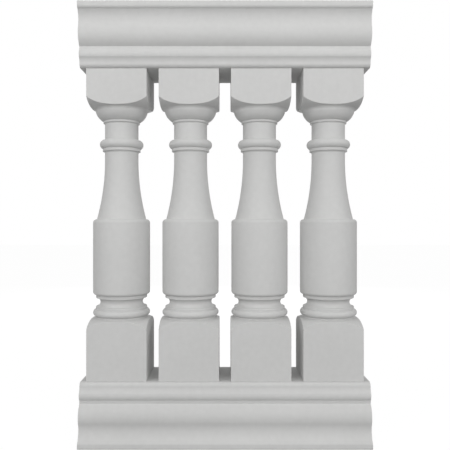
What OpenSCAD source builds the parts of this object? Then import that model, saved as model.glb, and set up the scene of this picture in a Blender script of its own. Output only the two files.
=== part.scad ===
// Fibreglass balustrade bay: a moulded top rail, the same moulding turned over as the bottom rail,
// and a row of turned balusters with square blocks between them.
// Millimetres. X runs along the bay, Y from front to back and Z up, from the floor under the bay's middle.

/* [Bay] */
// Distance from one baluster's axis to the next
baluster_pitch = 152.4; // [140:0.1:190]
// Height of each baluster, from the bottom rail to the top rail
baluster_h = 660; // [600:1:760]

/* [Rail moulding] */
// Half width of the flat face that meets the balusters
bearing_half_w = 60.9; // [58:0.1:66]
// Radius that rounds the edges of that face
bearing_edge_r = 8.5; // [4:0.1:10]
// Height of the shallow cavetto beside the bearing face
cavetto_h = 13.5; // [9:0.5:18]
// How far the cavetto flares outwards
cavetto_out = 5; // [2:0.1:6]
// Height of the low bead
bead_h = 14.8; // [12:0.2:17]
// Half width of the rail at the bead's widest line
bead_half_w = 75.4; // [73:0.1:80]
// Height of the bead's widest line above its foot
bead_rise = 5.2; // [3:0.2:7]
// Radius of the bead
bead_r = 14; // [13:0.2:20]
// Height of the quirk, the narrow groove between the bead and the ogee
quirk_h = 7.2; // [4:0.2:10]
// Height of the ogee, from the quirk to the underside of the lip
ogee_h = 73.5; // [68:0.5:77]
// Radius of the ogee's crown and of its hollow
ogee_r = 34.5; // [32:0.5:45]
// Half width of the rail at the ogee's crown
crown_half_w = 83.2; // [81:0.1:86]
// Height of the crown above the ogee's foot
crown_rise = 26.8; // [22:0.2:30]
// Height of the deepest line of the hollow above the ogee's foot
hollow_rise = 52.3; // [49:0.1:58]
// Height of the lip, from its underside to the rail's flat outer face
lip_h = 15.8; // [13:0.1:20]
// Half width of the rail at the lip
lip_half_w = 90; // [88:0.1:96]
// Radius that rounds the lip under
lip_round_r = 7; // [6.5:0.1:9]
// Radius of the lip's outer edge
lip_edge_r = 3.5; // [1:0.1:6]

/* [Rail shell] */
// Thickness of the moulded laminate
wall_t = 6; // [4:0.5:8]
// Thickness of the plate that closes the moulding towards the balusters
plate_t = 8; // [5:0.5:12]
// Thickness of the caps that close the rail's ends
end_cap_t = 8; // [5:0.5:12]

/* [Fixings] */
// Diameter of the floor anchor holes under the balusters
anchor_hole_d = 14; // [10:1:20]
// Diameter of the coupling holes in the end caps
coupling_hole_d = 11; // [8:1:16]
// Distance between the two coupling holes of an end cap
coupling_spacing = 70; // [40:1:90]
// Distance from the bearing face to the line of the coupling holes
coupling_rise = 75; // [55:1:100]

/* [Baluster blocks] */
// Width and depth of the square blocks at both ends
block_w = 127; // [112:0.5:140]
// Height of the plinth, to the top of its dome
plinth_h = 128.2; // [110:0.1:160]
// Height of the cap block, from the foot of its dome to the top rail
cap_block_h = 77.3; // [60:0.1:100]
// Radius of the round that domes the blocks' corners
dome_r = 54; // [44:0.5:80]
// Radius about the axis at which that round starts
dome_start_r = 49; // [40:0.5:54]
// Radius of the cove between the plinth's dome and the torus
plinth_cove_r = 4; // [1:0.1:8]
// Radius of the cove between the echinus and the cap block's dome
block_cove_r = 7.5; // [2:0.1:12]

/* [Baluster foot] */
// Height of the torus over the plinth
torus_h = 14.8; // [10:0.2:20]
// Radius of the torus at its widest
torus_r = 62; // [58:0.1:64]
// Height of the bead on the torus
foot_bead_h = 5.8; // [4:0.2:12]
// Radius of the bead at its edges
foot_bead_r = 55.5; // [50:0.1:60]
// Radius of the bead's bulge
foot_bead_bulge_r = 12.4; // [8:0.2:20]
// Height of the scotia, the deep round hollow above the bead
scotia_h = 18.8; // [12:0.2:24]
// Depth of the scotia behind the line of its two edges
scotia_depth = 9.3; // [3:0.1:12]
// Height of the fillet under the barrel
foot_fillet_h = 7; // [3:0.2:10]
// Radius of the fillet under the barrel
foot_fillet_r = 55.6; // [50:0.1:60]

/* [Baluster barrel and shaft] */
// Height of the barrel
barrel_h = 165; // [120:1:190]
// Radius of the barrel
barrel_r = 62.1; // [57:0.1:64]
// Radius that rounds the barrel's lower edge
barrel_low_edge_r = 6.5; // [2:0.1:12]
// Radius that rounds the barrel's upper edge
barrel_high_edge_r = 8; // [2:0.1:14]
// Radius of the flared shaft where it stands on the barrel
flare_foot_r = 53.7; // [44:0.1:60]
// Radius of the neck
neck_r = 36.5; // [30:0.1:39]
// Height of the straight stretch of neck under the collar
lower_neck_h = 14.9; // [5:0.1:40]

/* [Baluster collar and cap] */
// Height and radius of the small cove under the collar
collar_cove_r = 4.3; // [1:0.1:8]
// Height of the collar's fillet
collar_fillet_h = 5.1; // [3:0.1:8]
// Radius of the collar's fillet
collar_fillet_r = 41.2; // [38:0.1:47]
// Height of the astragal, the round bead on the collar
astragal_h = 20.2; // [14:0.2:26]
// Radius of the astragal at its widest
astragal_r = 47.5; // [44:0.1:54]
// Height of the straight neck between the astragal and the cap
upper_neck_h = 33.4; // [15:0.1:45]
// Height and radius of the small cove under the cap's fillet
cap_cove_r = 3; // [1:0.1:8]
// Height of the cap's fillet
cap_fillet_h = 4.6; // [2:0.1:8]
// Radius of the cap's fillet
cap_fillet_r = 39.6; // [38:0.1:46]
// Height of the echinus, the bowl under the cap block
echinus_h = 19; // [16:0.1:26]
// Radius of the echinus at its foot
echinus_foot_r = 40.8; // [36:0.1:48]
// Radius of the echinus at its top
echinus_r = 56; // [52:0.1:62]
// Radius of the echinus' bulge
echinus_bulge_r = 33; // [24:0.5:60]

/* [Hidden] */

baluster_count = 4;
bay_l = baluster_count * baluster_pitch;
gel_coat = [0.81, 0.81, 0.81];
round_fn = 96;
// Largest turn and largest length of one straight step of an arc
arc_turn = 9;
arc_reach = 9;
// How far a cut runs past the face that it starts from
cut_over = 1;

// Heights in the rail moulding, from the bearing face
bead_foot = bearing_edge_r + cavetto_h;
quirk_foot = bead_foot + bead_h;
ogee_foot = quirk_foot + quirk_h;
lip_foot = ogee_foot + ogee_h;
rail_h = lip_foot + lip_h;
crown_at = ogee_foot + crown_rise;
hollow_at = ogee_foot + hollow_rise;

// Centres of the ogee's two arcs, which touch half way between them
crown_centre = [crown_half_w - ogee_r, crown_at];
hollow_centre = crown_centre + [sqrt(pow(2 * ogee_r, 2) - pow(hollow_at - crown_at, 2)), hollow_at - crown_at];
ogee_turn = atan2(hollow_at - crown_at, hollow_centre[0] - crown_centre[0]);
hollow_half_w = hollow_centre[0] - ogee_r;
hollow_end = hollow_centre[0] - sqrt(pow(ogee_r, 2) - pow(lip_foot - hollow_at, 2));

// Half widths in the rail shell
neck_half_w = bearing_half_w + bearing_edge_r;
plate_half_w = bearing_half_w - wall_t;
low_half_w = neck_half_w - wall_t;
high_half_w = hollow_half_w - wall_t;

top_rail_at = rail_h + baluster_h;
bay_end = bay_l / 2;

// Radii in the baluster; its coves are no larger than the steps that they fill
stock_r = block_w / sqrt(2) + cut_over;
torus_centre_r = torus_r - torus_h / 2;
astragal_centre_r = astragal_r - astragal_h / 2;
collar_cove = min(collar_cove_r, collar_fillet_r - neck_r);
cap_cove = min(cap_cove_r, cap_fillet_r - neck_r);

// A cove beside a dome starts upright at its own radius and ends where it touches the dome's round:
// the turn at its end, and how far its centre lies along the axis from the centre of that round
function cove_turn(start_r, r) = asin((start_r + r - dome_start_r) / (dome_r + r));
function cove_span(start_r, r) = (dome_r + r) * cos(cove_turn(start_r, r));

// Heights in the baluster, up from the plinth and down from the cap block
torus_at = plinth_h - dome_r + cove_span(torus_centre_r, plinth_cove_r);
foot_bead_at = torus_at + torus_h;
scotia_at = foot_bead_at + foot_bead_h;
foot_fillet_at = scotia_at + scotia_h;
barrel_at = foot_fillet_at + foot_fillet_h;
flare_at = barrel_at + barrel_h;
cap_block_at = baluster_h - cap_block_h;
echinus_end = cap_block_at + dome_r - cove_span(echinus_r, block_cove_r);
echinus_at = echinus_end - echinus_h;
cap_fillet_at = echinus_at - cap_fillet_h;
upper_neck_end = cap_fillet_at - cap_cove;
astragal_end = upper_neck_end - upper_neck_h;
collar_fillet_at = astragal_end - astragal_h - collar_fillet_h;
lower_neck_end = collar_fillet_at - collar_cove;
flare_end = lower_neck_end - lower_neck_h;

// Radius of an arc that starts along one side and moves across by so much over so long
function sweep_r(along, across) = (along * along + across * across) / (2 * across);

// Points of an arc about a centre, from one angle to another
function arc(centre, r, from, to) =
    let (steps = max(2, ceil(abs(to - from) / arc_turn), ceil(r * abs(to - from) * PI / 180 / arc_reach)))
    [for (i = [0 : steps]) let (a = from + (to - from) * i / steps) centre + r * [cos(a), sin(a)]];

// Points of an arc between two points that bulges to the right of the way from the first to the second
function bulge(p, q, r) =
    let (
        way = q - p,
        left = [-way[1], way[0]] / norm(way),
        centre = (p + q) / 2 + left * sqrt(r * r - way * way / 4),
        from = atan2(p[1] - centre[1], p[0] - centre[0]),
        to = atan2(q[1] - centre[1], q[0] - centre[0])
    )
    arc(centre, r, from, to);

// Points of an arc between two points that hollows to the left of the way from the first to the second
function hollow(p, q, depth) =
    let (
        way = q - p,
        r = (way * way / 4 + depth * depth) / (2 * depth),
        right = [way[1], -way[0]] / norm(way),
        centre = (p + q) / 2 + right * (r - depth),
        from = atan2(p[1] - centre[1], p[0] - centre[0])
    )
    arc(centre, r, from, from - 4 * atan2(2 * depth, norm(way)));

// Angle at which a round of radius r about centre_r meets a piece of radius other_r above or below it
function meeting(other_r, centre_r, r) = acos(max(other_r - centre_r, 0) / r);

// A half outline and its mirror image, closed across the middle
function both_sides(half) =
    concat(half, [for (i = [len(half) - 1 : -1 : 0]) [-half[i][0], half[i][1]]]);

// Right half of the moulding: half width and distance from the bearing face
function rail_half() =
    let (
        cavetto_r = sweep_r(cavetto_h, cavetto_out),
        lip_centre_w = lip_half_w - lip_round_r,
        lip_turn = acos((hollow_end - lip_centre_w) / lip_round_r)
    )
    concat(
        arc([bearing_half_w, bearing_edge_r], bearing_edge_r, -90, 0),
        arc([neck_half_w + cavetto_r, bearing_edge_r], cavetto_r, 180, 180 - asin(cavetto_h / cavetto_r)),
        arc([bead_half_w - bead_r, bead_foot + bead_rise], bead_r,
            -asin(bead_rise / bead_r), asin((bead_h - bead_rise) / bead_r)),
        arc(crown_centre, ogee_r, -asin(crown_rise / ogee_r), ogee_turn),
        arc(hollow_centre, ogee_r, 180 + ogee_turn, 180 - asin((lip_foot - hollow_at) / ogee_r)),
        arc([lip_centre_w, lip_foot + lip_round_r * sin(lip_turn)], lip_round_r, -lip_turn, 0),
        arc([lip_half_w - lip_edge_r, rail_h - lip_edge_r], lip_edge_r, 0, 90)
    );

// Right half of the hollow behind the plate, which follows the moulding's main steps
function hollow_half() = [
    [low_half_w, plate_t], [low_half_w, ogee_foot], [high_half_w, crown_at], [high_half_w, rail_h - wall_t]
];

// Outline that the baluster is turned to, out past the corners of its square stock at both ends:
// radius and height above the baluster's foot
function turned_outline() =
    let (
        dome_foot = acos((stock_r - dome_start_r) / dome_r),
        plinth_turn = cove_turn(torus_centre_r, plinth_cove_r),
        block_turn = cove_turn(echinus_r, block_cove_r),
        low_edge_centre_r = barrel_r - barrel_low_edge_r,
        high_edge_centre_r = barrel_r - barrel_high_edge_r,
        flare_r = sweep_r(flare_end - flare_at, flare_foot_r - neck_r)
    )
    concat(
        [[0, -cut_over], [stock_r, -cut_over]],
        arc([dome_start_r, plinth_h - dome_r], dome_r, dome_foot, 90 - plinth_turn),
        arc([torus_centre_r + plinth_cove_r, torus_at], plinth_cove_r, 270 - plinth_turn, 180),
        arc([torus_centre_r, torus_at + torus_h / 2], torus_h / 2,
            -90, meeting(foot_bead_r, torus_centre_r, torus_h / 2)),
        bulge([foot_bead_r, foot_bead_at], [foot_bead_r, scotia_at], foot_bead_bulge_r),
        hollow([foot_bead_r, scotia_at], [foot_fillet_r, foot_fillet_at], scotia_depth),
        [[foot_fillet_r, barrel_at]],
        arc([low_edge_centre_r, barrel_at + barrel_low_edge_r], barrel_low_edge_r,
            -meeting(foot_fillet_r, low_edge_centre_r, barrel_low_edge_r), 0),
        arc([high_edge_centre_r, flare_at - barrel_high_edge_r], barrel_high_edge_r,
            0, meeting(flare_foot_r, high_edge_centre_r, barrel_high_edge_r)),
        arc([neck_r + flare_r, flare_end], flare_r, 180 + asin((flare_end - flare_at) / flare_r), 180),
        arc([neck_r + collar_cove, lower_neck_end], collar_cove, 180, 90),
        [[collar_fillet_r, collar_fillet_at]],
        arc([astragal_centre_r, astragal_end - astragal_h / 2], astragal_h / 2,
            -acos((collar_fillet_r - astragal_centre_r) / (astragal_h / 2)),
            meeting(neck_r, astragal_centre_r, astragal_h / 2)),
        [[neck_r, astragal_end]],
        arc([neck_r + cap_cove, upper_neck_end], cap_cove, 180, 90),
        [[cap_fillet_r, cap_fillet_at], [cap_fillet_r, echinus_at]],
        bulge([echinus_foot_r, echinus_at], [echinus_r, echinus_end], echinus_bulge_r),
        arc([echinus_r + block_cove_r, echinus_end], block_cove_r, 180, 90 + block_turn),
        arc([dome_start_r, cap_block_at + dome_r], dome_r, 270 + block_turn, 360 - dome_foot),
        [[stock_r, baluster_h + cut_over], [0, baluster_h + cut_over]]
    );

// Sets a rail piece as the top rail, with its bearing face down
module as_top_rail() {
    translate([0, 0, top_rail_at]) children();
}

// Sets a rail piece as the bottom rail, with its bearing face up
module as_bottom_rail() {
    translate([0, 0, rail_h]) mirror([0, 0, 1]) children();
}

// Runs a rail outline along the bay from one place to another
module along_bay(from, to) {
    translate([from, 0, 0]) rotate([90, 0, 90]) linear_extrude(to - from) children();
}

// Moulded channel: the outer face and both sides, hollow towards the bearing face
module rail_shell() {
    difference() {
        along_bay(-bay_end, bay_end) polygon(both_sides(rail_half()));
        along_bay(-bay_end - cut_over, bay_end + cut_over) polygon(both_sides(hollow_half()));
        translate([-bay_end - cut_over, -plate_half_w, -cut_over])
            cube([bay_l + 2 * cut_over, 2 * plate_half_w, plate_t + 2 * cut_over]);
    }
}

// Flat plate between the channel's two edges, flush with the bearing face
module bearing_plate() {
    translate([-bay_end, -plate_half_w, 0]) cube([bay_l, 2 * plate_half_w, plate_t]);
}

// Cap set into the channel's end behind the plate, with two coupling holes; side is -1 for left, 1 for right
module end_cap(side) {
    inner = side * bay_end - (side > 0 ? end_cap_t : 0);
    difference() {
        along_bay(inner, inner + end_cap_t) polygon(both_sides(hollow_half()));
        for (y = [-1, 1] * coupling_spacing / 2)
            translate([inner - cut_over, y, coupling_rise])
                rotate([0, 90, 0])
                    cylinder(d = coupling_hole_d, h = end_cap_t + 2 * cut_over, $fn = round_fn);
    }
}

// Where a baluster's axis stands along the bay
function baluster_x(number) = (number - (baluster_count + 1) / 2) * baluster_pitch;

module top_rail() {
    color(gel_coat) as_top_rail() rail_shell();
}

module top_rail_soffit_plate() {
    color(gel_coat) as_top_rail() bearing_plate();
}

module top_rail_end_cap(side) {
    color(gel_coat) as_top_rail() end_cap(side);
}

// The bottom rail stands on its wide face, which has a floor anchor hole under each baluster
module bottom_rail() {
    color(gel_coat)
        difference() {
            as_bottom_rail() rail_shell();
            for (number = [1 : baluster_count])
                translate([baluster_x(number), 0, -cut_over])
                    cylinder(d = anchor_hole_d, h = wall_t + 2 * cut_over, $fn = round_fn);
        }
}

module bottom_rail_deck_plate() {
    color(gel_coat) as_bottom_rail() bearing_plate();
}

module bottom_rail_end_cap(side) {
    color(gel_coat) as_bottom_rail() end_cap(side);
}

// One moulding with the form of a turning: square stock that is left whole at both ends, the plinth and
// the cap block, and turned between them
module baluster(number) {
    color(gel_coat)
        translate([baluster_x(number), 0, rail_h])
            intersection() {
                translate([-block_w / 2, -block_w / 2, 0]) cube([block_w, block_w, baluster_h]);
                rotate_extrude($fn = round_fn) polygon(turned_outline());
            }
}

top_rail();
top_rail_soffit_plate();
top_rail_end_cap(-1);  // top_rail_left_end_cap
top_rail_end_cap(1);  // top_rail_right_end_cap
for (number = [1 : baluster_count])
    baluster(number);
bottom_rail();
bottom_rail_deck_plate();
bottom_rail_end_cap(-1);  // bottom_rail_left_end_cap
bottom_rail_end_cap(1);  // bottom_rail_right_end_cap
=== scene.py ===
"""Looks of one bay of a fibreglass balustrade: two moulded rails with turned balusters between them."""

import math

import bpy
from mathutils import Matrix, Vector


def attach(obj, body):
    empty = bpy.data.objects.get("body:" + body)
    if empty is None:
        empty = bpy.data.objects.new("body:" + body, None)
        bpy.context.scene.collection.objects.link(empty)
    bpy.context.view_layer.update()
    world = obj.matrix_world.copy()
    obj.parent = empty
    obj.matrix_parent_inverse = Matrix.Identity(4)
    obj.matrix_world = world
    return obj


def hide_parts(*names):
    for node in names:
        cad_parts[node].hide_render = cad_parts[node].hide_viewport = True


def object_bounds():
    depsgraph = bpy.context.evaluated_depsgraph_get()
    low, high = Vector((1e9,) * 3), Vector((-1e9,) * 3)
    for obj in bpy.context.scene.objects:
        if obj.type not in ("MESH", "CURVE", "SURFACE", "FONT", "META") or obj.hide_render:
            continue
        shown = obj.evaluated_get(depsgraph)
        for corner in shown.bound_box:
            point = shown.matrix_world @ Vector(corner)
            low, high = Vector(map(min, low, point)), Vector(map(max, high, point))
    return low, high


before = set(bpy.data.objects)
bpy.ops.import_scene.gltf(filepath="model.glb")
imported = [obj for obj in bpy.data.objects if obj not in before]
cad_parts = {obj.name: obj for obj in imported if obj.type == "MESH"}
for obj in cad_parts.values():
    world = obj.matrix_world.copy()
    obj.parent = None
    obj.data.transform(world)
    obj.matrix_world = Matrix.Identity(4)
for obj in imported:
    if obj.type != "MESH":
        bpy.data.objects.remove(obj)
cad_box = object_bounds()

# The view: level and straight on, from the front at half the bay's height.
# The picture is square, and the bay fills its height.
mm = 0.001
camera_away = 1252 * mm
scene = bpy.context.scene
scene.view_settings.view_transform = "Standard"
camera = bpy.data.objects.new("camera", bpy.data.cameras.new("camera"))
camera.data.sensor_width = 36
camera.data.lens = 45.2
camera.location = (0, -camera_away, cad_box[1].z / 2)
camera.rotation_euler = (math.radians(90), 0, 0)
scene.collection.objects.link(camera)
scene.camera = camera


# Rails: two long channels of the same moulding, hand-laid in one mould and set face to face.
# Each is a 6 mm skin of gel-coated glass-fibre laminate, open towards the balusters and cut square.
# The bottom rail stands on its wide flat back, which is drilled under each baluster for an anchor rod.
bearing_half_w = 60.9 * mm
bearing_edge_r = 8.5 * mm
cavetto_h = 13.5 * mm
cavetto_out = 5 * mm
bead_h = 14.8 * mm
bead_half_w = 75.4 * mm
bead_rise = 5.2 * mm
bead_r = 14 * mm
quirk_h = 7.2 * mm
ogee_h = 73.5 * mm
ogee_r = 34.5 * mm
crown_half_w = 83.2 * mm
crown_rise = 26.8 * mm
hollow_rise = 52.3 * mm
lip_h = 15.8 * mm
lip_half_w = 90 * mm
lip_round_r = 7 * mm
lip_edge_r = 3.5 * mm
skin_t = 6 * mm
plate_t = 8 * mm
mould_corner_r = 0.8 * mm
anchor_hole_r = 7 * mm
baluster_count = 4
bay_end = cad_box[1].x
pitch = 2 * bay_end / baluster_count
bay_h = cad_box[1].z

bead_foot = bearing_edge_r + cavetto_h
ogee_foot = bead_foot + bead_h + quirk_h
crown_at = ogee_foot + crown_rise
hollow_at = ogee_foot + hollow_rise
lip_foot = ogee_foot + ogee_h
rail_h = lip_foot + lip_h
neck_half_w = bearing_half_w + bearing_edge_r
plate_half_w = bearing_half_w - skin_t
crown_centre = (crown_half_w - ogee_r, crown_at)
arcs_apart = math.sqrt((2 * ogee_r) ** 2 - (hollow_at - crown_at) ** 2)
hollow_centre = (crown_centre[0] + arcs_apart, hollow_at)
low_half_w = neck_half_w - skin_t
high_half_w = hollow_centre[0] - ogee_r - skin_t
cavity_half = [
    (low_half_w, plate_t), (low_half_w, ogee_foot), (high_half_w, crown_at), (high_half_w, rail_h - skin_t)
]

# how long an arc's steps are, which turns count as corners, and how much of its sides a rounding takes
arc_step = math.radians(5)
arc_chord = 4 * mm
arc_least_steps = 3
corner_over = math.radians(20)
corner_under = math.radians(150)
corner_reach = 0.45
corner_steps = 4
same_spot = 0.0001 * mm


def arc(centre, r, start, end):
    """Points of an arc about a centre, from one angle to another in degrees."""
    turn = math.radians(end - start)
    steps = max(arc_least_steps, math.ceil(abs(turn) / arc_step), math.ceil(r * abs(turn) / arc_chord))
    angles = [math.radians(start) + turn * i / steps for i in range(steps + 1)]
    return [(centre[0] + r * math.cos(a), centre[1] + r * math.sin(a)) for a in angles]


def eased(points, r):
    """The same line with each sharp corner rounded by about that radius, as a mould's corners are."""
    made = [points[0]]
    for i in range(1, len(points) - 1):
        here = Vector(points[i])
        before = here - Vector(made[-1])
        after = Vector(points[i + 1]) - here
        if after.length < same_spot:
            continue
        turn = abs(before.angle_signed(after))
        if not corner_over < turn < corner_under:
            made.append(points[i])
            continue
        cut = min(r * math.tan(turn / 2), corner_reach * before.length, corner_reach * after.length)
        first = here - before.normalized() * cut
        last = here + after.normalized() * cut
        for t in (step / corner_steps for step in range(corner_steps + 1)):
            made.append(tuple(first.lerp(here, t).lerp(here.lerp(last, t), t)))
    return made + [points[-1]]


def both_sides(half):
    """A half outline and its mirror image."""
    return half + [(-w, h) for w, h in reversed(half)]


def moulding_half():
    """Right half of the moulding's face: half width and distance from the face that meets the balusters."""
    cavetto_r = (cavetto_h ** 2 + cavetto_out ** 2) / (2 * cavetto_out)
    cavetto_turn = math.degrees(math.asin(cavetto_h / cavetto_r))
    bead_low = math.degrees(math.asin(bead_rise / bead_r))
    bead_high = math.degrees(math.asin((bead_h - bead_rise) / bead_r))
    crown_low = math.degrees(math.asin(crown_rise / ogee_r))
    ogee_turn = math.degrees(math.atan2(hollow_at - crown_at, arcs_apart))
    hollow_high = math.degrees(math.asin((lip_foot - hollow_at) / ogee_r))
    hollow_end = hollow_centre[0] - math.sqrt(ogee_r ** 2 - (lip_foot - hollow_at) ** 2)
    lip_centre_w = lip_half_w - lip_round_r
    lip_turn = math.acos((hollow_end - lip_centre_w) / lip_round_r)
    lip_centre_h = lip_foot + lip_round_r * math.sin(lip_turn)
    return eased(
        [(plate_half_w, 0)]
        + arc((bearing_half_w, bearing_edge_r), bearing_edge_r, -90, 0)
        + arc((neck_half_w + cavetto_r, bearing_edge_r), cavetto_r, 180, 180 - cavetto_turn)
        + arc((bead_half_w - bead_r, bead_foot + bead_rise), bead_r, -bead_low, bead_high)
        + arc(crown_centre, ogee_r, -crown_low, ogee_turn)
        + arc(hollow_centre, ogee_r, 180 + ogee_turn, 180 - hollow_high)
        + arc((lip_centre_w, lip_centre_h), lip_round_r, -math.degrees(lip_turn), 0)
        + arc((lip_half_w - lip_edge_r, rail_h - lip_edge_r), lip_edge_r, 0, 90),
        mould_corner_r,
    )


def set_up(points, top):
    """An outline of the rail, measured from its bearing face, as it stands in the top or the bottom rail."""
    if top:
        return [(w, bay_h - rail_h + h) for w, h in points]
    return [(w, rail_h - h) for w, h in reversed(points)]


def outline_piece(name, points, closed=True, **marks):
    """A piece that starts as its outline alone: a line of points, with one number a point for each mark."""
    count = len(points)
    edges = [(i, (i + 1) % count) for i in range(count if closed else count - 1)]
    mesh = bpy.data.meshes.new(name)
    mesh.from_pydata([(w, h, 0) for w, h in points], edges, [])
    for mark, values in marks.items():
        mesh.attributes.new(mark, "FLOAT", "POINT").data.foreach_set("value", values)
    piece = bpy.data.objects.new(name, mesh)
    scene.collection.objects.link(piece)
    return piece


def add(tree, kind, feeds=None, **settings):
    """Adds a node with its settings, and feeds its inputs from values or from other nodes' outputs."""
    made = tree.nodes.new(kind)
    for name, value in settings.items():
        setattr(made, name, value)
    for key, source in (feeds or {}).items():
        if isinstance(source, bpy.types.NodeSocket):
            tree.links.new(source, made.inputs[key])
        else:
            made.inputs[key].default_value = source
    return made


def new_tree(name, sizes):
    """A geometry tree that takes an outline or a mesh, and named sizes."""
    tree = bpy.data.node_groups.new(name, "GeometryNodeTree")
    tree.is_modifier = True
    tree.interface.new_socket("Geometry", in_out="INPUT", socket_type="NodeSocketGeometry")
    for label, kind in sizes.items():
        tree.interface.new_socket(label, in_out="INPUT", socket_type="NodeSocket" + kind)
    tree.interface.new_socket("Geometry", in_out="OUTPUT", socket_type="NodeSocketGeometry")
    return tree


def run_tree(piece, tree, sizes):
    """Runs a tree on a piece with these sizes."""
    modifier = piece.modifiers.new(tree.name, "NODES")
    modifier.node_group = tree
    for item in tree.interface.items_tree:
        if item.in_out == "INPUT" and item.name in sizes:
            modifier[item.identifier] = sizes[item.name]


def settle(piece):
    """Turns what a piece's modifiers make into its own plain mesh."""
    depsgraph = bpy.context.evaluated_depsgraph_get()
    made = bpy.data.meshes.new_from_object(piece.evaluated_get(depsgraph), depsgraph=depsgraph)
    piece.modifiers.clear()
    piece.data = made


def linear(colour):
    """An sRGB hex colour as linear red, green, blue and alpha."""
    parts = [int(colour[i:i + 2], 16) / 255 for i in (1, 3, 5)]
    return [p / 12.92 if p <= 0.04045 else ((p + 0.055) / 1.055) ** 2.4 for p in parts] + [1]


# Gel-coated glass-fibre laminate, sprayed into a polished mould and backed with chopped strand.
# To the eye it is an even pale grey, rubbed down to a dull satin. Close up it shows a faint drift of tone,
# a fine orange peel, and slow waves where the laminate has shrunk.
darker_grey = "#CDCDCC"
lighter_grey = "#D2D2D1"
least_rough = 0.62
most_rough = 0.7
drift_size = 150 * mm
mottle_size = 11 * mm
wave_size = 70 * mm
wave_depth = 0.15 * mm
# orange peel is 2 to 3 mm across, drawn at 5 mm so that it shows
peel_size = 5 * mm
peel_depth = 0.02 * mm
gel_coat = bpy.data.materials.new("gel_coated_glass_fibre")
gel_coat.use_nodes = True
paint = gel_coat.node_tree
paint.nodes.clear()
place = add(paint, "ShaderNodeTexCoord").outputs["Object"]
drift, mottle, peel, waves = [
    add(paint, "ShaderNodeTexNoise", {"Vector": place, "Scale": 1 / size, "Detail": detail}).outputs["Fac"]
    for size, detail in ((drift_size, 3.0), (mottle_size, 4.0), (peel_size, 2.0), (wave_size, 1.0))
]
tone = add(paint, "ShaderNodeMath", {0: drift, 1: mottle}, operation="ADD").outputs[0]
tone = add(paint, "ShaderNodeMapRange", {"Value": tone, "From Min": 0.7, "From Max": 1.3}).outputs[0]
colour = add(paint, "ShaderNodeMix", {
    "Factor": tone, 6: linear(darker_grey), 7: linear(lighter_grey)}, data_type="RGBA").outputs[2]
roughness = add(paint, "ShaderNodeMapRange", {
    "Value": mottle, "From Min": 0.3, "From Max": 0.7,
    "To Min": least_rough, "To Max": most_rough}).outputs[0]
relief = add(paint, "ShaderNodeBump", {"Height": waves, "Distance": wave_depth}).outputs[0]
relief = add(paint, "ShaderNodeBump", {"Height": peel, "Distance": peel_depth, "Normal": relief}).outputs[0]
skin = add(paint, "ShaderNodeBsdfPrincipled", {
    "Base Color": colour, "Roughness": roughness, "IOR": 1.54, "Specular IOR Level": 0.25, "Normal": relief})
add(paint, "ShaderNodeOutputMaterial", {"Surface": skin.outputs[0]})

# smooth shading that breaks at every corner
crisp_over = math.radians(35)
crisp = new_tree("crisp corners", {})
given = add(crisp, "NodeGroupInput").outputs
corner = add(crisp, "GeometryNodeInputMeshEdgeAngle").outputs["Unsigned Angle"]
corner = add(crisp, "FunctionNodeCompare", {0: corner, 1: crisp_over}, operation="GREATER_THAN").outputs[0]
made = add(crisp, "GeometryNodeSetShadeSmooth", {
    "Geometry": given["Geometry"], "Shade Smooth": True}).outputs[0]
made = add(crisp, "GeometryNodeSetShadeSmooth", {
    "Geometry": made, "Selection": corner, "Shade Smooth": False}, domain="EDGE").outputs[0]
add(crisp, "NodeGroupOutput", {"Geometry": made})

# an outline run along the bay and closed at both ends
run = new_tree("moulded run", {"From": "Float", "To": "Float", "Material": "Material"})
given = add(run, "NodeGroupInput").outputs
outline = add(run, "GeometryNodeMeshToCurve", {"Mesh": given["Geometry"]}).outputs[0]
outline = add(run, "GeometryNodeTransform", {"Geometry": outline, "Rotation": (0, 0, math.pi)}).outputs[0]
start = add(run, "ShaderNodeCombineXYZ", {"X": given["From"]}).outputs[0]
end = add(run, "ShaderNodeCombineXYZ", {"X": given["To"]}).outputs[0]
path = add(run, "GeometryNodeCurvePrimitiveLine", {"Start": start, "End": end}).outputs[0]
path = add(run, "GeometryNodeSetCurveNormal", {"Curve": path}, mode="Z_UP").outputs[0]
made = add(run, "GeometryNodeCurveToMesh", {
    "Curve": path, "Profile Curve": outline, "Fill Caps": True}).outputs[0]
made = add(run, "GeometryNodeGroup", {"Geometry": made}, node_tree=crisp).outputs[0]
made = add(run, "GeometryNodeRealizeInstances", {"Geometry": made}).outputs[0]
made = add(run, "GeometryNodeSetMaterial", {"Geometry": made, "Material": given["Material"]}).outputs[0]
add(run, "NodeGroupOutput", {"Geometry": made})

# a row of round holes through a piece, drilled by bits that are longer than its wall is thick
hole_sides = 64
bit_to_wall = 4
drilled = new_tree("drilled row", {
    "Holes": "Int", "First": "Vector", "Step": "Vector", "Turn": "Rotation",
    "Radius": "Float", "Depth": "Float", "Material": "Material"})
given = add(drilled, "NodeGroupInput").outputs
spots = add(drilled, "GeometryNodeMeshLine", {
    "Count": given["Holes"], "Start Location": given["First"], "Offset": given["Step"]}).outputs[0]
bit = add(drilled, "GeometryNodeMeshCylinder", {
    "Vertices": hole_sides, "Radius": given["Radius"], "Depth": given["Depth"]}).outputs["Mesh"]
bits = add(drilled, "GeometryNodeInstanceOnPoints", {
    "Points": spots, "Instance": bit, "Rotation": given["Turn"]}).outputs[0]
bits = add(drilled, "GeometryNodeRealizeInstances", {"Geometry": bits}).outputs[0]
made = add(drilled, "GeometryNodeMeshBoolean", {"Mesh 1": given["Geometry"], "Mesh 2": bits}).outputs["Mesh"]
made = add(drilled, "GeometryNodeGroup", {"Geometry": made}, node_tree=crisp).outputs[0]
made = add(drilled, "GeometryNodeSetMaterial", {"Geometry": made, "Material": given["Material"]}).outputs[0]
add(drilled, "NodeGroupOutput", {"Geometry": made})

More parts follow.
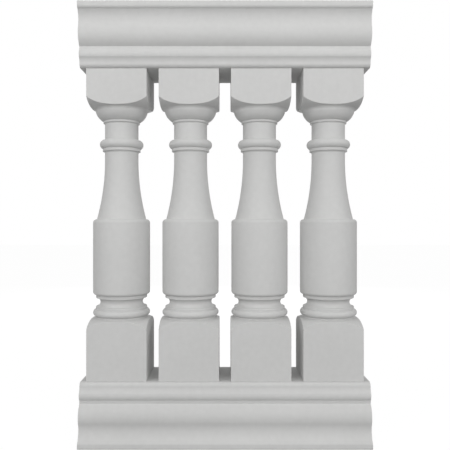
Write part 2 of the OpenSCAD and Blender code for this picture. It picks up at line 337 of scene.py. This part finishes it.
channel = both_sides(moulding_half()) + [(-plate_half_w, plate_t)]
channel += [(-w, h) for w, h in cavity_half] + list(reversed(cavity_half)) + [(plate_half_w, plate_t)]
for name, top in (("bottom_rail", False), ("top_rail", True)):
    rail = outline_piece("rail_" + name.split("_")[0], set_up(channel, top))
    run_tree(rail, run, {"From": -bay_end, "To": bay_end, "Material": gel_coat})
    if not top:
        run_tree(rail, drilled, {
            "Holes": baluster_count, "First": (pitch / 2 - bay_end, 0, 0), "Step": (pitch, 0, 0),
            "Radius": anchor_hole_r, "Depth": bit_to_wall * skin_t, "Material": gel_coat})
    settle(rail)
    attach(rail, "root")
    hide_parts(name)


# Closing plates: flat strips of the same laminate, bonded between the channel's two edges.
# The deck plate carries the balusters' feet and the soffit plate meets their caps. The arrises are eased.
plate_arris = 0.3 * mm
arris_steps = 2
plate = both_sides([(plate_half_w, 0), (plate_half_w, plate_t)])
for name, top in (("bottom_rail_deck_plate", False), ("top_rail_soffit_plate", True)):
    strip = outline_piece(name.split("_", 2)[2], set_up(plate, top))
    run_tree(strip, run, {"From": -bay_end, "To": bay_end, "Material": gel_coat})
    easing = strip.modifiers.new("eased arrises", "BEVEL")
    easing.width = plate_arris
    easing.segments = arris_steps
    settle(strip)
    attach(strip, "root")
    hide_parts(name)


# End caps: plates cut to the cavity and bonded flush into the rails' ends.
# Two holes in each take the bolts that couple one bay to the next.
end_cap_t = 8 * mm
coupling_count = 2
coupling_hole_r = 5.5 * mm
coupling_spacing = 70 * mm
coupling_rise = 75 * mm
for row, top in (("bottom_rail", False), ("top_rail", True)):
    for side, outer in (("left", -bay_end), ("right", bay_end)):
        cap = outline_piece(f"end_cap_{row.split('_')[0]}_{side}", set_up(both_sides(cavity_half), top))
        inner = outer - math.copysign(end_cap_t, outer)
        run_tree(cap, run, {"From": min(inner, outer), "To": max(inner, outer), "Material": gel_coat})
        hole_z = bay_h - rail_h + coupling_rise if top else rail_h - coupling_rise
        run_tree(cap, drilled, {
            "Holes": coupling_count, "First": (outer, -coupling_spacing / 2, hole_z),
            "Step": (0, coupling_spacing, 0), "Turn": (0, math.pi / 2, 0),
            "Radius": coupling_hole_r, "Depth": bit_to_wall * end_cap_t, "Material": gel_coat})
        easing = cap.modifiers.new("eased arrises", "BEVEL")
        easing.width = plate_arris
        easing.segments = arris_steps
        settle(cap)
        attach(cap, "root")
        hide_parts(f"{row}_{side}_end_cap")


# Balusters: each is one hollow moulding, turned between a square plinth and a square cap block.
# The blocks' corners are domed in to the round of the shaft, and their edges are slightly rounded.
# They are bonded between the deck plate and the soffit plate.
block_w = 127 * mm
plinth_h = 128.2 * mm
cap_block_h = 77.3 * mm
dome_r = 54 * mm
dome_start_r = 49 * mm
plinth_cove_r = 4 * mm
block_cove_r = 7.5 * mm
torus_h = 14.8 * mm
torus_r = 62 * mm
foot_bead_h = 5.8 * mm
foot_bead_r = 55.5 * mm
foot_bead_bulge_r = 12.4 * mm
scotia_h = 18.8 * mm
scotia_depth = 9.3 * mm
foot_fillet_h = 7 * mm
foot_fillet_r = 55.6 * mm
barrel_h = 165 * mm
barrel_r = 62.1 * mm
barrel_low_edge_r = 6.5 * mm
barrel_high_edge_r = 8 * mm
flare_foot_r = 53.7 * mm
neck_r = 36.5 * mm
lower_neck_h = 14.9 * mm
collar_cove_r = 4.3 * mm
collar_fillet_h = 5.1 * mm
collar_fillet_r = 41.2 * mm
astragal_h = 20.2 * mm
astragal_r = 47.5 * mm
upper_neck_h = 33.4 * mm
cap_cove_r = 3 * mm
cap_fillet_h = 4.6 * mm
cap_fillet_r = 39.6 * mm
echinus_h = 19 * mm
echinus_foot_r = 40.8 * mm
echinus_r = 56 * mm
echinus_bulge_r = 33 * mm
block_edge_r = 0.8 * mm
block_edge_steps = 3
baluster_h = bay_h - 2 * rail_h

torus_centre_r = torus_r - torus_h / 2
astragal_centre_r = astragal_r - astragal_h / 2
plinth_turn = math.asin((torus_centre_r + plinth_cove_r - dome_start_r) / (dome_r + plinth_cove_r))
block_turn = math.asin((echinus_r + block_cove_r - dome_start_r) / (dome_r + block_cove_r))
torus_at = plinth_h - dome_r + (dome_r + plinth_cove_r) * math.cos(plinth_turn)
foot_bead_at = torus_at + torus_h
scotia_at = foot_bead_at + foot_bead_h
foot_fillet_at = scotia_at + scotia_h
barrel_at = foot_fillet_at + foot_fillet_h
flare_at = barrel_at + barrel_h
cap_block_at = baluster_h - cap_block_h
echinus_end = cap_block_at + dome_r - (dome_r + block_cove_r) * math.cos(block_turn)
echinus_at = echinus_end - echinus_h
cap_fillet_at = echinus_at - cap_fillet_h
upper_neck_end = cap_fillet_at - cap_cove_r
astragal_end = upper_neck_end - upper_neck_h
collar_fillet_at = astragal_end - astragal_h - collar_fillet_h
lower_neck_end = collar_fillet_at - collar_cove_r
flare_end = lower_neck_end - lower_neck_h


def bulge(p, q, r):
    """Points of an arc from one point to another that bulges to the right of the way between them."""
    way = Vector(q) - Vector(p)
    left = Vector((-way.y, way.x)).normalized()
    centre = (Vector(p) + Vector(q)) / 2 + left * math.sqrt(r * r - way.length_squared / 4)
    start, end = (math.degrees(math.atan2(x[1] - centre.y, x[0] - centre.x)) for x in (p, q))
    return arc(centre, r, start, end)


def hollow(p, q, depth):
    """Points of an arc from one point to another that hollows to the left of the way between them."""
    way = Vector(q) - Vector(p)
    r = (way.length_squared / 4 + depth ** 2) / (2 * depth)
    centre = (Vector(p) + Vector(q)) / 2 + Vector((way.y, -way.x)).normalized() * (r - depth)
    start = math.degrees(math.atan2(p[1] - centre.y, p[0] - centre.x))
    return arc(centre, r, start, start - 4 * math.degrees(math.atan2(2 * depth, way.length)))


def meeting(other_r, centre_r, r):
    """Angle at which a round of radius r about centre_r meets a piece of radius other_r above or below it."""
    return math.degrees(math.acos(max(other_r - centre_r, 0) / r))


def turned_outline():
    """Radius and height of the turned part, from the cove on the plinth to the cove under the cap block."""
    flare_l = flare_end - flare_at
    flare_r = (flare_l ** 2 + (flare_foot_r - neck_r) ** 2) / (2 * (flare_foot_r - neck_r))
    low_edge_centre_r = barrel_r - barrel_low_edge_r
    high_edge_centre_r = barrel_r - barrel_high_edge_r
    astragal_foot = math.degrees(math.acos((collar_fillet_r - astragal_centre_r) / (astragal_h / 2)))
    return eased(
        arc((torus_centre_r + plinth_cove_r, torus_at), plinth_cove_r, 270 - math.degrees(plinth_turn), 180)
        + arc((torus_centre_r, torus_at + torus_h / 2), torus_h / 2,
              -90, meeting(foot_bead_r, torus_centre_r, torus_h / 2))
        + bulge((foot_bead_r, foot_bead_at), (foot_bead_r, scotia_at), foot_bead_bulge_r)
        + hollow((foot_bead_r, scotia_at), (foot_fillet_r, foot_fillet_at), scotia_depth)
        + [(foot_fillet_r, barrel_at)]
        + arc((low_edge_centre_r, barrel_at + barrel_low_edge_r), barrel_low_edge_r,
              -meeting(foot_fillet_r, low_edge_centre_r, barrel_low_edge_r), 0)
        + arc((high_edge_centre_r, flare_at - barrel_high_edge_r), barrel_high_edge_r,
              0, meeting(flare_foot_r, high_edge_centre_r, barrel_high_edge_r))
        + arc((neck_r + flare_r, flare_end), flare_r, 180 + math.degrees(math.asin(flare_l / flare_r)), 180)
        + arc((neck_r + collar_cove_r, lower_neck_end), collar_cove_r, 180, 90)
        + [(collar_fillet_r, collar_fillet_at)]
        + arc((astragal_centre_r, astragal_end - astragal_h / 2), astragal_h / 2,
              -astragal_foot, meeting(neck_r, astragal_centre_r, astragal_h / 2))
        + [(neck_r, astragal_end)]
        + arc((neck_r + cap_cove_r, upper_neck_end), cap_cove_r, 180, 90)
        + [(cap_fillet_r, cap_fillet_at), (cap_fillet_r, echinus_at)]
        + bulge((echinus_foot_r, echinus_at), (echinus_r, echinus_end), echinus_bulge_r)
        + arc((echinus_r + block_cove_r, echinus_end), block_cove_r, 180, 90 + math.degrees(block_turn)),
        mould_corner_r,
    )


def dome(ring, up):
    """Points of a dome from the block's face in to a ring; up is 1 on the plinth, -1 on the cap block."""
    shares = (1, 0.85, 0.7, 0.55, 0.4, 0.26, 0.13)
    radii = [ring[0] + share * (block_w / 2 - ring[0]) for share in shares]
    start, *falls = [math.sqrt(dome_r ** 2 - (r - dome_start_r) ** 2) for r in [ring[0]] + radii]
    return [(r, ring[1] + up * (fall - start), share, up) for r, fall, share in zip(radii, falls, shares)]


def baluster_outline():
    """Half outline through the middle of the block's faces, with how square and how domed each point is."""
    shaft = turned_outline()
    foot = [(0, 0, 0, 0), (block_w / 2, 0, 1, 0)] + dome(shaft[0], 1)
    cap = dome(shaft[-1], -1)[::-1] + [(block_w / 2, baluster_h, 1, 0), (0, baluster_h, 0, 0)]
    return foot + [(r, h, 0, 0) for r, h in shaft] + cap


# an outline turned about its axis: it follows a tiny ring, whose middle is then merged to a point
columns = 128
ring_r = 0.001 * mm
merge_within = 0.005 * mm
turned = new_tree("turned baluster", {
    "Columns": "Int", "Block width": "Float", "Dome radius": "Float", "Dome start": "Float",
    "Place": "Vector", "Material": "Material"})
given = add(turned, "NodeGroupInput").outputs
outline = add(turned, "GeometryNodeMeshToCurve", {"Mesh": given["Geometry"]}).outputs[0]
outline = add(turned, "GeometryNodeTransform", {
    "Geometry": outline, "Rotation": (math.pi, 0, 0)}).outputs[0]
ring = add(turned, "GeometryNodeCurvePrimitiveCircle", {
    "Resolution": given["Columns"], "Radius": ring_r}).outputs[0]
ring = add(turned, "GeometryNodeSetCurveNormal", {"Curve": ring}, mode="Z_UP").outputs[0]
made = add(turned, "GeometryNodeCurveToMesh", {"Curve": ring, "Profile Curve": outline}).outputs[0]
made = add(turned, "GeometryNodeFlipFaces", {"Mesh": made}).outputs[0]
made = add(turned, "GeometryNodeMergeByDistance", {
    "Geometry": made, "Distance": merge_within}).outputs[0]

# how far each point moves out, from its circle towards the block's square, by how square it is
square = add(turned, "GeometryNodeInputNamedAttribute", {"Name": "square"}, data_type="FLOAT").outputs[0]
domed = add(turned, "GeometryNodeInputNamedAttribute", {"Name": "domed"}, data_type="FLOAT").outputs[0]
spot = add(turned, "GeometryNodeInputPosition").outputs[0]
axes = add(turned, "ShaderNodeSeparateXYZ", {"Vector": spot}).outputs
flat = add(turned, "ShaderNodeVectorMath", {0: spot, 1: (1, 1, 0)}, operation="MULTIPLY").outputs[0]
radius = add(turned, "ShaderNodeVectorMath", {0: flat}, operation="LENGTH").outputs["Value"]
spread = [add(turned, "ShaderNodeMath", {0: axes[i]}, operation="ABSOLUTE").outputs[0] for i in (0, 1)]
spread = add(turned, "ShaderNodeMath", {0: spread[0], 1: spread[1]}, operation="MAXIMUM").outputs[0]
reach = add(turned, "ShaderNodeMath", {0: radius, 1: spread}, operation="DIVIDE").outputs[0]
reach = add(turned, "ShaderNodeMath", {0: reach, 1: 1}, operation="SUBTRACT").outputs[0]
half = add(turned, "ShaderNodeMath", {0: given["Block width"], 1: 0.5}, operation="MULTIPLY").outputs[0]
out = add(turned, "ShaderNodeMath", {0: reach, 1: half}, operation="MULTIPLY").outputs[0]
wider = add(turned, "ShaderNodeMath", {0: out, 1: square, 2: radius}, operation="MULTIPLY_ADD").outputs[0]
share = add(turned, "ShaderNodeMath", {0: wider, 1: radius}, operation="DIVIDE").outputs[0]

# how far a point of a dome falls as it moves out
dome_square = add(turned, "ShaderNodeMath", {
    0: given["Dome radius"], 1: given["Dome radius"]}, operation="MULTIPLY").outputs[0]
falls = []
for distance in (radius, wider):
    past = add(turned, "ShaderNodeMath", {
        0: distance, 1: given["Dome start"]}, operation="SUBTRACT").outputs[0]
    fall = add(turned, "ShaderNodeMath", {0: past, 1: past}, operation="MULTIPLY").outputs[0]
    fall = add(turned, "ShaderNodeMath", {0: dome_square, 1: fall}, operation="SUBTRACT").outputs[0]
    falls.append(add(turned, "ShaderNodeMath", {0: fall}, operation="SQRT").outputs[0])
drop = add(turned, "ShaderNodeMath", {0: falls[1], 1: falls[0]}, operation="SUBTRACT").outputs[0]
height = add(turned, "ShaderNodeMath", {
    0: drop, 1: domed, 2: axes["Z"]}, operation="MULTIPLY_ADD").outputs[0]
moved = [
    add(turned, "ShaderNodeMath", {0: axes[i], 1: share}, operation="MULTIPLY").outputs[0] for i in (0, 1)
]
moved = add(turned, "ShaderNodeCombineXYZ", {"X": moved[0], "Y": moved[1], "Z": height}).outputs[0]
made = add(turned, "GeometryNodeSetPosition", {"Geometry": made, "Position": moved}).outputs[0]

# the blocks' own edges are marked, for their rounding
wholly_square = 0.99
corner = add(turned, "GeometryNodeInputMeshEdgeAngle").outputs["Unsigned Angle"]
corner = add(turned, "FunctionNodeCompare", {0: corner, 1: crisp_over}, operation="GREATER_THAN").outputs[0]
block = add(turned, "FunctionNodeCompare", {
    0: square, 1: wholly_square}, operation="GREATER_THAN").outputs[0]
edge = add(turned, "FunctionNodeBooleanMath", {0: corner, 1: block}, operation="AND").outputs[0]
made = add(turned, "GeometryNodeStoreNamedAttribute", {
    "Geometry": made, "Name": "bevel_weight_edge", "Value": edge},
    data_type="FLOAT", domain="EDGE").outputs[0]
made = add(turned, "GeometryNodeTransform", {
    "Geometry": made, "Translation": given["Place"]}).outputs[0]
made = add(turned, "GeometryNodeGroup", {"Geometry": made}, node_tree=crisp).outputs[0]
made = add(turned, "GeometryNodeRealizeInstances", {"Geometry": made}).outputs[0]
made = add(turned, "GeometryNodeSetMaterial", {"Geometry": made, "Material": given["Material"]}).outputs[0]
add(turned, "NodeGroupOutput", {"Geometry": made})

half_outline = baluster_outline()
for number in range(1, baluster_count + 1):
    baluster = outline_piece(
        f"turned_baluster_{number}", [p[:2] for p in half_outline], closed=False,
        square=[p[2] for p in half_outline], domed=[p[3] for p in half_outline])
    run_tree(baluster, turned, {
        "Columns": columns, "Block width": block_w, "Dome radius": dome_r, "Dome start": dome_start_r,
        "Place": ((number - 0.5) * pitch - bay_end, 0, rail_h), "Material": gel_coat})
    easing = baluster.modifiers.new("eased edges", "BEVEL")
    easing.limit_method = "WEIGHT"
    easing.width = block_edge_r
    easing.segments = block_edge_steps
    settle(baluster)
    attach(baluster, "root")
    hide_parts(f"baluster_{number}")


# Floor: a wide sheet of white paper, just under the bay.
# It glows white to the camera and in reflections, mixed with a tenth of its own grey,
# which holds the bay's soft shadow.
floor_half_w = 12.0
floor_drop = 1 * mm
paper_grey = "#B4B4B4"
glow_share = 0.9
glow_strength = 1.08


def seen_rays(tree):
    """1 to the camera, in reflections and through glass, and 0 where a surface only gives light."""
    rays = add(tree, "ShaderNodeLightPath").outputs
    seen = rays["Is Camera Ray"]
    for kind in ("Is Glossy Ray", "Is Transmission Ray"):
        seen = add(tree, "ShaderNodeMath", {0: seen, 1: rays[kind]}, operation="MAXIMUM").outputs[0]
    return seen


floor_mesh = bpy.data.meshes.new("floor")
floor_corners = [
    (x * floor_half_w, y * floor_half_w, -floor_drop) for x, y in ((-1, -1), (1, -1), (1, 1), (-1, 1))
]
floor_mesh.from_pydata(floor_corners, [], [(0, 1, 2, 3)])
floor = bpy.data.objects.new("floor", floor_mesh)
scene.collection.objects.link(floor)
white_sheet = bpy.data.materials.new("white_paper_sheet")
white_sheet.use_nodes = True
sheet = white_sheet.node_tree
sheet.nodes.clear()
seen = add(sheet, "ShaderNodeMath", {0: seen_rays(sheet), 1: glow_share}, operation="MULTIPLY").outputs[0]
paper = add(sheet, "ShaderNodeBsdfDiffuse", {"Color": linear(paper_grey)}).outputs[0]
glow = add(sheet, "ShaderNodeEmission", {"Strength": glow_strength}).outputs[0]
both = add(sheet, "ShaderNodeMixShader", {0: seen, 1: paper, 2: glow}).outputs[0]
add(sheet, "ShaderNodeOutputMaterial", {"Surface": both})
floor_mesh.materials.append(white_sheet)


# Light: a faint even studio all round, with soft lamps in pairs, two in front and two higher up at the sides.
# One more stands low behind, so that the back isn't left dark. It isn't mirrored in the deck and the blocks.
room_strength = 0.3
backdrop_strength = 1.0
lamp_away = 3.0
lamp_w = 1.4
lamp_h = 0.9
bay_middle = Vector((0, 0, bay_h / 2))
world = bpy.data.worlds.new("studio")
world.use_nodes = True
scene.world = world
sky = world.node_tree
sky.nodes.clear()
room = add(sky, "ShaderNodeBackground", {"Color": (1, 1, 1, 1), "Strength": room_strength}).outputs[0]
backdrop = add(sky, "ShaderNodeBackground", {"Color": (1, 1, 1, 1), "Strength": backdrop_strength}).outputs[0]
both = add(sky, "ShaderNodeMixShader", {0: seen_rays(sky), 1: room, 2: backdrop}).outputs[0]
add(sky, "ShaderNodeOutputWorld", {"Surface": both})
for name, side, elevation, watts in (
    ("left_front_lamp", -25, 15, 18),
    ("right_front_lamp", 25, 15, 18),
    ("left_side_lamp", -50, 35, 17),
    ("right_side_lamp", 50, 35, 17),
    ("back_lamp", 180, 5, 44),
):
    lamp = bpy.data.objects.new(name, bpy.data.lights.new(name, "AREA"))
    lamp.data.shape = "RECTANGLE"
    lamp.data.size = lamp_w
    lamp.data.size_y = lamp_h
    lamp.data.energy = watts
    lamp.rotation_euler = (math.radians(90 - elevation), 0, math.radians(side))
    lamp.location = bay_middle + lamp.rotation_euler.to_matrix() @ Vector((0, 0, lamp_away))
    lamp.visible_glossy = name != "back_lamp"
    scene.collection.objects.link(lamp)
